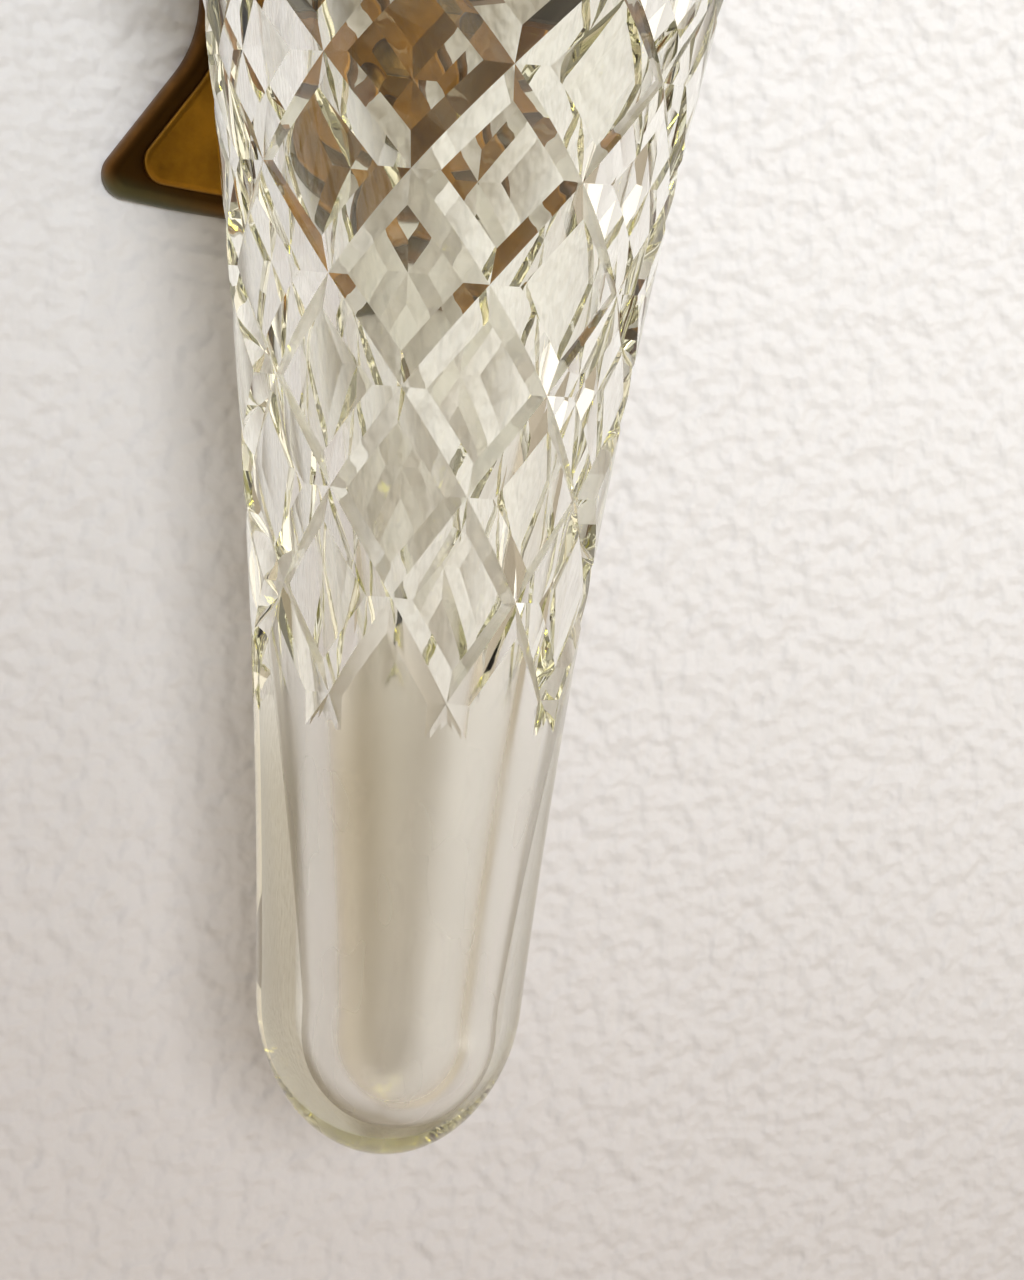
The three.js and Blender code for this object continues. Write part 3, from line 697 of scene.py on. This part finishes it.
class WALLVASE_OT_plate(Operator):
    """Makes the wall plate: a flared outline with an upright edge and a quarter-round bevel."""

    bl_idname = "wallvase.plate"
    bl_label = "Wall plate"

    def execute(self, context):
        _, b, s = sizes(context)
        turn = np.linspace(0.0, np.pi / 2, BEVEL_RINGS)
        inset = np.concatenate([[EDGE_BREAK, 0.0], b.bevel * (1.0 - np.cos(turn))])
        rise = b.plate_edge + (b.plate_thick - b.plate_edge) * np.sin(turn)
        y = np.concatenate([[0.0, -EDGE_BREAK], -rise])
        plate = lofted("wall_plate", [plate_outline(b, b.corner, i, d) for i, d in zip(inset, y)])
        carve(plate, [*wall_screw_holes(b, s), *arm_screw_holes(b, s)])
        metal = brass("aged_brass_plate", b.plate_brass, b.patina_and_shade, 6.0, SATIN, PLATE_SHADE_DEPTHS, b.painted_reflection)
        dress(plate, [metal], CREASE, "bracket", "plate_brass", "back_plate")
        return {"FINISHED"}


class WALLVASE_OT_panel(Operator):
    """Makes the raised panel: the plate's outline drawn in, with a round-nosed edge."""

    bl_idname = "wallvase.panel"
    bl_label = "Raised panel"

    def execute(self, context):
        _, b, s = sizes(context)
        turn = np.linspace(0.0, np.pi / 2, PANEL_RINGS)
        nose = b.panel_inset + b.panel_round * (1.0 - np.sin(turn))
        inset = np.concatenate([nose, nose[::-1]])
        rise = b.panel_round * (1.0 - np.cos(turn))
        y = np.concatenate([-b.plate_thick - rise, panel_face(b) + rise[::-1]])
        corner = b.panel_inset + b.panel_corner
        panel = lofted("raised_panel", [plate_outline(b, corner, i, d) for i, d in zip(inset, y)])
        carve(panel, [*wall_screw_holes(b, s), *arm_screw_holes(b, s)])
        metal = brass("aged_brass_panel", b.panel_brass, b.patina_and_shade, 7.0, POLISHED)
        dress(panel, [metal], CREASE, "bracket", "panel_brass", "front_panel")
        return {"FINISHED"}


class WALLVASE_OT_ring(Operator):
    """Makes the ring: a tapered band with a half-round bead along each edge."""

    bl_idname = "wallvase.ring"
    bl_label = "Ring"

    def execute(self, context):
        g, b, s = sizes(context)
        _, _, inner, outer = ring_offsets(b)
        half = b.ring_height / 2
        beads = [arc((seat_radius(g, b, z, outer), z), b.bead, -np.pi / 2, np.pi / 2, BEAD_POINTS)
                 for z in (b.bead - half, half - b.bead)]
        inside = [(seat_radius(g, b, z, inner), z) for z in (half, -half)]
        profile = np.concatenate([inside, *beads])
        ring = turned("holder_ring_band", profile, RING_SEGMENTS, (0.0, -g.axis_reach, 0.0))
        carve(ring, ring_screw_holes(g, b, s))
        metal = brass("aged_brass_ring", b.plate_brass, b.patina_and_shade, 5.0, POLISHED)
        dress(ring, [metal], CREASE, "bracket", "plate_brass", "holder_ring")
        return {"FINISHED"}


class WALLVASE_OT_sleeve(Operator):
    """Makes the sleeve: a thin tapered tube whose rounded lip rests on the ring's upper edge."""

    bl_idname = "wallvase.sleeve"
    bl_label = "Sleeve"

    def execute(self, context):
        g, b, _ = sizes(context)
        inner, outer, _, lip = ring_offsets(b)
        low, under = -b.ring_height / 2, b.ring_height / 2 + b.gap
        middle, half = under + b.sleeve_lip / 2, b.sleeve_lip / 2
        nose = arc((seat_radius(g, b, middle, lip) - half, middle), half, -np.pi / 2, np.pi / 2, BEAD_POINTS)
        profile = [(seat_radius(g, b, under + b.sleeve_lip, inner), under + b.sleeve_lip),
                   (seat_radius(g, b, low, inner), low), (seat_radius(g, b, low, outer), low),
                   (seat_radius(g, b, under, outer), under)]
        profile = np.concatenate([profile, nose])
        sleeve = turned("vase_sleeve", profile, RING_SEGMENTS, (0.0, -g.axis_reach, 0.0))
        soft = rubber("moulded_rubber", b.sleeve_rubber)
        dress(sleeve, [soft], CREASE, "liner", "sleeve_rubber", "vase_liner")
        return {"FINISHED"}


class WALLVASE_OT_arm(Operator):
    """Makes the arm: a turned foot and neck with a rounded head, hollowed to fit the ring's band."""

    bl_idname = "wallvase.arm"
    bl_label = "Arm"

    def execute(self, context):
        g, b, s = sizes(context)
        back, face = ring_back(g, b), panel_face(b)
        share = np.linspace(0.0, 1.0, SWEEP_POINTS)
        swell = b.neck_radius + (b.foot_radius - b.neck_radius) * (1.0 + np.cos(np.pi * share)) / 2
        sweep = np.stack([swell, face - b.foot_edge - b.foot_sweep * share], -1)
        profile = [(0.0, face), (b.foot_radius, face), *sweep, (b.neck_radius, back), (0.0, back)]
        arm = turned("support_arm_body", profile, ARM_SEGMENTS, (0.0, 0.0, 0.0), 1.0)
        carve(arm, [self.head(g, b)], "UNION")
        off = ring_offsets(b)[3] + b.gap
        half = b.ring_height / 2
        low, top = seat_radius(g, b, -half, off), seat_radius(g, b, half, off)
        inside = [(0.0, -half), (low, -half), (top, half), (0.0, half)]
        band = turned("band", inside, RING_SEGMENTS, (0.0, -g.axis_reach, 0.0))
        carve(arm, [band, *ring_screw_holes(g, b, s), *arm_screw_holes(b, s)])
        metal = brass("aged_brass_arm", b.plate_brass, b.patina_and_shade, 5.0, SATIN)
        dress(arm, [metal], CREASE, "bracket", "plate_brass", "support_arm")
        return {"FINISHED"}

    def head(self, g, b):
        """A block with round edges, lying between the ring's beads: a rounded rectangle carried along Y."""
        wide = b.head_width / 2
        tall = b.ring_height / 2 - 2 * b.bead - b.gap
        turn = np.linspace(0.0, np.pi / 2, HEAD_RINGS)
        inset = np.concatenate([b.head_round * (1.0 - np.sin(turn)), np.zeros(1)])
        back = ring_back(g, b)
        nose = back + b.head_length - b.head_round * (1.0 - np.cos(turn))
        y = np.concatenate([nose, [back - b.head_length]])
        quarters = [(1, 1, 0.0), (-1, 1, 0.5), (-1, -1, 1.0), (1, -1, 1.5)]
        x, z = wide - b.head_round, tall - b.head_round
        rings = []
        for i, d in zip(inset, y):
            # A little over the rounding, so that the nose's last ring keeps a size.
            r = 1.01 * b.head_round - i
            flat = np.concatenate([arc((sx * x, sz * z), r, np.pi * t, np.pi * (t + 0.5), HEAD_RINGS)
                                   for sx, sz, t in quarters])
            rings.append(np.stack([flat[:, 0], np.full(len(flat), d), flat[:, 1]], -1))
        return lofted("head", rings)


HEAD_POINTS = 12  # of a domed head
THREAD_STEPS = 10  # rows in one turn of thread
THREAD_COLUMNS = 40
THREAD_DEPTH = 0.28  # of the pitch
WALL_PITCH = 1.8 * MM
ARM_PITCH = 0.7 * MM
RING_PITCH = 0.6 * MM
WALL_POINT = 3.0  # length of a wall screw's point, in radii
DOME_RELIEF = 0.2 * MM  # from a head to the first ring of its shank
CONE_RELIEF = 0.1 * MM
BLUNT = 0.2 * MM  # shortest end


def screw(name, head, shank, radius, pitch, tip, place, direction, s):
    """A slotted screw along Y from its head's profile of (r, d): the shank carries a helical V thread.

    Radius over the thread: crest less depth times the V of (d / pitch + t / 2 pi), t being the turn. The
    thread fades in under the head and the shank narrows to a point over the tip's length.
    """
    columns = THREAD_COLUMNS
    start, end = shank
    rows = int((end - start) / pitch * THREAD_STEPS) + 1
    d = np.linspace(start, end, rows)
    narrow = np.clip((end - d) / max(tip, BLUNT), 0.0, 1.0)
    r = np.concatenate([[p[0] for p in head], radius * narrow, [0.0]])
    d = np.concatenate([[p[1] for p in head], d, [end]])
    fade = np.clip((d[len(head):-1] - start) / pitch, 0.0, 1.0)
    deep = np.concatenate([np.zeros(len(head)), fade * narrow, [0.0]])
    turn = np.linspace(0.0, 2.0 * np.pi, columns, endpoint=False)
    phase = (d / pitch)[:, None] + turn / (2.0 * np.pi)
    wave = 2.0 * np.abs(phase - np.floor(phase) - 0.5)
    r = r[:, None] - THREAD_DEPTH * pitch * deep[:, None] * wave
    rings = np.stack([r * np.sin(turn), direction * d[:, None] + 0.0 * turn, r * np.cos(turn)], -1)
    piece = new_piece(name, (rings + np.asarray(place)).reshape(-1, 3), grid_faces(len(d), columns))
    top = place[1] + direction * head[0][1]
    wide = 1.2 * max(p[0] for p in head)
    corner = np.array([[-wide, -s.slot_width / 2], [wide, -s.slot_width / 2],
                       [wide, s.slot_width / 2], [-wide, s.slot_width / 2]]) + [place[0], place[2]]
    ends = [top - direction * s.slot_depth, top + direction * s.slot_depth]
    carve(piece, [lofted("slot", [np.stack([corner[:, 0], np.full(4, y), corner[:, 1]], -1) for y in ends])])
    return piece


class WALLVASE_OT_screws(Operator):
    """Makes the screws: two domed into the wall, two into the arm's foot and two from inside the ring."""

    bl_idname = "wallvase.screws"
    bl_label = "Screws"

    def execute(self, context):
        g, b, s = sizes(context)
        metal = brass("brass_screw", b.screw_brass, b.patina_and_shade, 1.5, HANDLED)
        turn = np.linspace(0.0, np.pi / 2, HEAD_POINTS)
        dome = [*zip(s.wall_head * np.sin(turn), -s.wall_dome * np.cos(turn)), (s.wall_radius, 0.0)]
        face = panel_face(b)
        for side, end in ((-1, "lower"), (1, "upper")):
            made = screw(f"wall_screw_{end}_slotted", dome, (DOME_RELIEF, s.wall_reach - face), s.wall_radius,
                         WALL_PITCH, WALL_POINT * s.wall_radius, (0.0, face, side * s.wall_offset), 1.0, s)
            dress(made, [metal], CREASE, "bracket", "screw_brass", f"wall_screw_{end}")
            head = [(0.0, 0.0), (s.arm_head, 0.0), (s.arm_radius, s.arm_head - s.arm_radius)]
            made = screw(f"arm_screw_{end}_slotted", head, (head[2][1] + CONE_RELIEF, arm_screw_length(b, s)),
                         s.arm_radius, ARM_PITCH, 0.0, (0.0, -s.sink, side * s.arm_offset), -1.0, s)
            dress(made, [metal], CREASE, "bracket", "screw_brass", f"arm_screw_{end}")
        depth, reach = ring_screw_place(g, b, s)
        head = [(0.0, 0.0), (s.ring_head, 0.0), (s.ring_radius, s.ring_head - s.ring_radius)]
        for side, end in ((-1, "left"), (1, "right")):
            made = screw(f"ring_screw_{end}_slotted", head, (head[2][1] + CONE_RELIEF, reach), s.ring_radius,
                         RING_PITCH, 0.0, (side * s.ring_offset, depth, 0.0), 1.0, s)
            dress(made, [metal], CREASE, "bracket", "screw_brass", f"ring_screw_{end}")
        return {"FINISHED"}


# Stage

WALL_FADE = (0.3, 0.0, 0.954)  # direction across the wall in which painted light brightens its paint
WALL_DIM_AT = -0.2  # metres along that direction
WALL_LIGHT_AT = 0.02
WALL_REACH = 1.5  # metres to either side
FLOOR_REACH = 3.0
WALL_LAP = 2.0 * MM  # by which the plate covers the edge of the opening behind it
STIPPLE_WIDTH = 3.2 * MM  # lumps left by a paint roller
STIPPLE_RELIEF = 1.4 * MM
ROOM_LEAN = (1.0, 0.0, 0.2)  # direction in which the room gets brighter
ROOM_LEVELS = (0.22, 1.4)
ROOM_TINT = (1.0, 0.92, 0.8, 1.0)
LAMPS = (  # name, place and diameter in metres, watts, tint, and whether glass and brass mirror it
    ("key_light", (-0.175, -1.24, 0.13), 0.32, 9.0, (0.97, 0.99, 1.0), False),
    ("room_light", (0.8, -0.8, 0.7), 1.6, 1.5, (1.0, 0.95, 0.88), True),
    ("ceiling_light", (0.0, -0.15, 0.9), 0.16, 3.0, (1.0, 0.97, 0.92), True),
)
BOUNCES = 24  # light takes many turns inside cut glass
SENSOR_WIDTH = 36.0  # of the camera, in millimetres


def floor_paint(shade):
    """Matt floor paint, one even colour."""
    material, tree = blank_material("matt_floor_paint")
    surface = node(tree, "BsdfDiffuse", {"Color": (*shade, 1.0)})
    node(tree, "OutputMaterial", {"Surface": surface.outputs["BSDF"]})
    return material


def wall_paint(light, dim):
    """Matt wall paint, lit at the upper right and shaded to the lower left by painted light, out of sight
    from behind.
    """
    material, tree = blank_material("matt_wall_paint")
    place = node(tree, "TexCoord").outputs["Object"]
    lean = node(tree, "VectorMath", {0: place, 1: WALL_FADE}, operation="DOT_PRODUCT").outputs["Value"]
    # Painted light: the paint fades from lit at the upper right to shaded at the lower left.
    tint = blend(tree, ramp(tree, lean, WALL_DIM_AT, WALL_LIGHT_AT, kind="SMOOTHSTEP"), dim, light)
    lumps = noise(tree, place, STIPPLE_WIDTH, 1.5, 0.4)
    relief = node(tree, "Bump", {"Height": lumps, "Strength": 1.0, "Distance": STIPPLE_RELIEF})
    front = node(tree, "BsdfDiffuse", {"Color": tint, "Normal": relief.outputs["Normal"]})
    clear = node(tree, "BsdfTransparent")
    behind = node(tree, "NewGeometry").outputs["Backfacing"]
    surface = node(tree, "MixShader", {0: behind, 1: front.outputs["BSDF"], 2: clear.outputs["BSDF"]})
    node(tree, "OutputMaterial", {"Surface": surface.outputs["Shader"]})
    return material


def backdrop(name, vertices, faces, material):
    """A flat stage surface."""
    mesh = bpy.data.meshes.new(name)
    mesh.from_pydata(np.asarray(vertices).tolist(), [], np.asarray(faces).tolist())
    mesh.materials.append(material)
    made = placed(name, mesh)


def softbox(name, place, target, size, watts, tint, mirrored):
    """A round area light at a place, turned to a target; out of sight, also in mirrors unless mirrored."""
    light = bpy.data.lights.new(name, "AREA")
    light.shape = "DISK"
    light.size = size
    light.energy = watts
    light.color = tint
    lamp = placed(name, light)
    lamp.location = place
    lamp.rotation_euler = (Vector(target) - Vector(place)).to_track_quat("-Z", "Y").to_euler()
    lamp.visible_camera = False
    lamp.visible_glossy = lamp.visible_transmission = mirrored


class WALLVASE_OT_stage(Operator):
    """Makes the wall, the floor, the light and the camera."""

    bl_idname = "wallvase.stage"
    bl_label = "Stage"

    def execute(self, context):
        scene = context.scene
        g, b, _ = sizes(context)
        stage = scene.wallvase_stage
        floor_z = -g.tip_to_ring - stage.floor_drop
        self.wall(b, stage, floor_z)
        sides = ((-1, -1), (1, -1), (1, 1), (-1, 1))
        corners = [(x * FLOOR_REACH, y * FLOOR_REACH, floor_z) for x, y in sides]
        backdrop("floor", corners, [[0, 1, 2, 3]], floor_paint(stage.floor_paint))
        middle = Vector((0.0, -g.axis_reach, stage.aim_height - g.tip_to_ring))
        for name, place, size, watts, tint, mirrored in LAMPS:
            softbox(name, place, middle, size, watts, tint, mirrored)
        self.world(scene)
        self.camera(scene, stage, middle)
        scene.view_settings.view_transform = "Standard"
        scene.cycles.max_bounces = BOUNCES
        scene.cycles.glossy_bounces = BOUNCES
        scene.cycles.transmission_bounces = BOUNCES
        return {"FINISHED"}

    def wall(self, b, stage, floor_z):
        """A wall out to its edges from an opening that the plate covers, so that its back is lit too."""
        hole = plate_outline(b, b.corner, WALL_LAP, stage.wall_gap)
        across, up = np.maximum(np.abs(hole[:, [0, 2]]), WELD).T
        grow = np.minimum(WALL_REACH / across, -floor_z / up)
        edge = hole * np.stack([grow, np.ones(len(hole)), grow], -1)
        faces = grid_faces(2, len(hole))[:, ::-1]
        backdrop("wall", np.concatenate([hole, edge]), faces, wall_paint(stage.wall_lit_side, stage.wall_shaded_side))

    def world(self, scene):
        """A pale room: brightest above and to the right."""
        world = bpy.data.worlds.new("room")
        world.use_nodes = True
        tree = world.node_tree
        tree.nodes.clear()
        way = node(tree, "TexCoord").outputs["Generated"]
        lean = node(tree, "VectorMath", {0: way, 1: ROOM_LEAN}, operation="DOT_PRODUCT").outputs["Value"]
        shade = ramp(tree, lean, 0.0, 1.0, *ROOM_LEVELS)
        sky = node(tree, "Background", {"Color": ROOM_TINT, "Strength": shade})
        node(tree, "OutputWorld", {"Surface": sky.outputs["Background"]})
        scene.world = world

    def camera(self, scene, stage, middle):
        """A camera round to the left and a little above, rolled, its picture's middle beside the axis."""
        level = math.cos(stage.elevation)
        back = Vector((level * math.sin(stage.azimuth), -level * math.cos(stage.azimuth),
                       math.sin(stage.elevation)))
        right = (-back).cross(Vector((0.0, 0.0, 1.0))).normalized()
        up = right.cross(-back)
        across = right * math.cos(stage.roll) + up * math.sin(stage.roll)
        upward = up * math.cos(stage.roll) - right * math.sin(stage.roll)
        place = middle + right * stage.aim_right + back * stage.distance
        data = bpy.data.cameras.new("camera")
        data.sensor_width = SENSOR_WIDTH
        data.lens = data.sensor_width * stage.distance / stage.view_height
        data.clip_start = 0.01
        camera = placed("camera", data)
        camera.matrix_world = Matrix((across, upward, back)).transposed().to_4x4()
        camera.location = place
        scene.camera = camera


# Add-on

GROUPS = {
    "wallvase_glass": WALLVASE_PG_glass,
    "wallvase_bracket": WALLVASE_PG_bracket,
    "wallvase_screws": WALLVASE_PG_screws,
    "wallvase_stage": WALLVASE_PG_stage,
}
OPERATORS = (
    WALLVASE_OT_stage,
    WALLVASE_OT_plate,
    WALLVASE_OT_panel,
    WALLVASE_OT_arm,
    WALLVASE_OT_ring,
    WALLVASE_OT_sleeve,
    WALLVASE_OT_screws,
    WALLVASE_OT_glass,
)


class WALLVASE_PT_sidebar(Panel):
    """Lists the pieces and their sizes."""

    bl_idname = "WALLVASE_PT_sidebar"
    bl_label = "Wall vase"
    bl_space_type = "VIEW_3D"
    bl_region_type = "UI"
    bl_category = "Wall vase"

    def draw(self, context):
        for operator in OPERATORS:
            self.layout.operator(operator.bl_idname)
        for name, group in GROUPS.items():
            box = self.layout.box()
            for key in group.__annotations__:
                box.prop(getattr(context.scene, name), key)


CLASSES = (*GROUPS.values(), *OPERATORS, WALLVASE_PT_sidebar)


def register():
    for entry in CLASSES:
        bpy.utils.register_class(entry)
    for name, group in GROUPS.items():
        setattr(bpy.types.Scene, name, PointerProperty(type=group))


def unregister():
    for name in GROUPS:
        delattr(bpy.types.Scene, name)
    for entry in reversed(CLASSES):
        bpy.utils.unregister_class(entry)


def main():
    """Builds every piece."""
    register()
    bpy.ops.wallvase.stage()
    bpy.ops.wallvase.plate()
    bpy.ops.wallvase.panel()
    bpy.ops.wallvase.arm()
    bpy.ops.wallvase.ring()
    bpy.ops.wallvase.sleeve()
    bpy.ops.wallvase.screws()
    bpy.ops.wallvase.glass()


if __name__ == "__main__":
    main()
